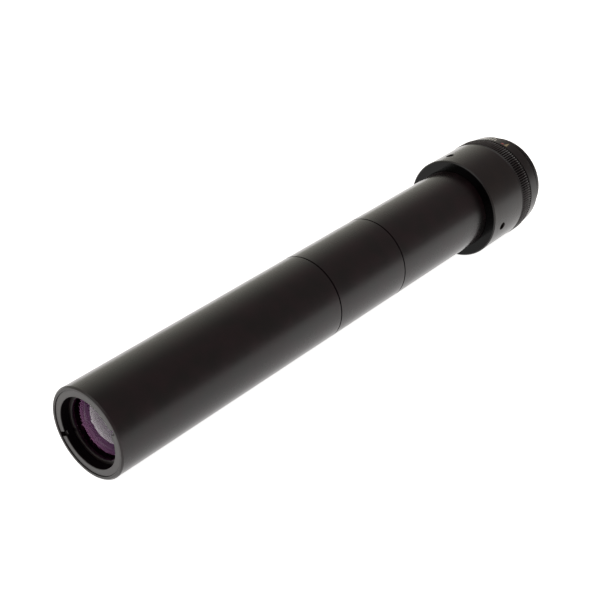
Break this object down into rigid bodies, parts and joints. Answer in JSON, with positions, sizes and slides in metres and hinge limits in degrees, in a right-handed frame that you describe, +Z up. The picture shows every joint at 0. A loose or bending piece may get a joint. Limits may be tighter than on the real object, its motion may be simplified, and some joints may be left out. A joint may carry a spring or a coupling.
{
  "type": "barlow lens",
  "caption": "Long black tube with a recessed negative lens in its nose, and a collar, knurled twist-lock ring and tapered mouth that hold an eyepiece.",
  "frame": {"origin": "on the optical axis, at the plane of the collar's front shoulder, where the barrel meets it", "axes": "+X along the optical axis toward the eyepiece mouth, the lens end at -X, +Z up with the tube lying level"},
  "size_m": [0.2262, 0.0402, 0.0404],
  "materials": {
    "anodised": "satin black anodised",
    "matt_black": "matt black anodised",
    "black_steel": "black oxide",
    "coated_glass": "polished, purple multi-layer coating",
    "brass": "turned",
    "mark_paint": "engraved index marks filled with paint",
    "nylon": "natural"
  },
  "bodies": {
    "holder": {"rear_tube": "anodised", "rear_baffle": "matt_black", "collar": "anodised", "stop_pin": "black_steel"},
    "spacer": {"spacer_tube": "anodised", "spacer_baffle": "matt_black"},
    "lens_section": {"front_tube": "anodised", "lens_cell": "anodised", "lens_lock_ring": "anodised", "front_lens": "coated_glass", "rear_lens": "coated_glass", "front_tube_baffle": "matt_black", "joint_baffle": "matt_black"},
    "grub_1": {"grub_screw_1": "black_steel"},
    "grub_2": {"grub_screw_2": "black_steel"},
    "grub_3": {"grub_screw_3": "black_steel"},
    "clamp": {"clamping_collet": "brass", "thrust_washer": "nylon"},
    "twist_lock": {"knurled_lock_ring": "anodised", "end_ring": "anodised"}
  },
  "joints": [
    {"name": "spacer_unscrew", "type": "slide", "parent": "holder", "child": "spacer", "axis": [-1, 0, 0], "range_m": [0, 0.0045]},
    {"name": "front_tube_unscrew", "type": "slide", "parent": "spacer", "child": "lens_section", "axis": [-1, 0, 0], "range_m": [0, 0.0045]},
    {"name": "grub_screw_1_out", "type": "slide", "parent": "holder", "child": "grub_1", "axis": [0, 0.3486, 0.9373], "range_m": [0, 0.0015]},
    {"name": "grub_screw_2_out", "type": "slide", "parent": "holder", "child": "grub_2", "axis": [0, 0.6374, -0.7705], "range_m": [0, 0.0015]},
    {"name": "grub_screw_3_out", "type": "slide", "parent": "holder", "child": "grub_3", "axis": [0, -0.986, -0.1668], "range_m": [0, 0.0015]},
    {"name": "clamp_release", "type": "slide", "parent": "holder", "child": "clamp", "axis": [1, 0, 0], "range_m": [0, 0.001]},
    {"name": "lock_turn", "type": "hinge", "parent": "clamp", "child": "twist_lock", "pos_m": [0.026, 0, 0], "axis": [1, 0, 0], "range_deg": [0, 240]}
  ],
  "couplings": [
    {"joint": "clamp_release", "follows": "lock_turn", "m_per_rad": 0.00023873}
  ]
}
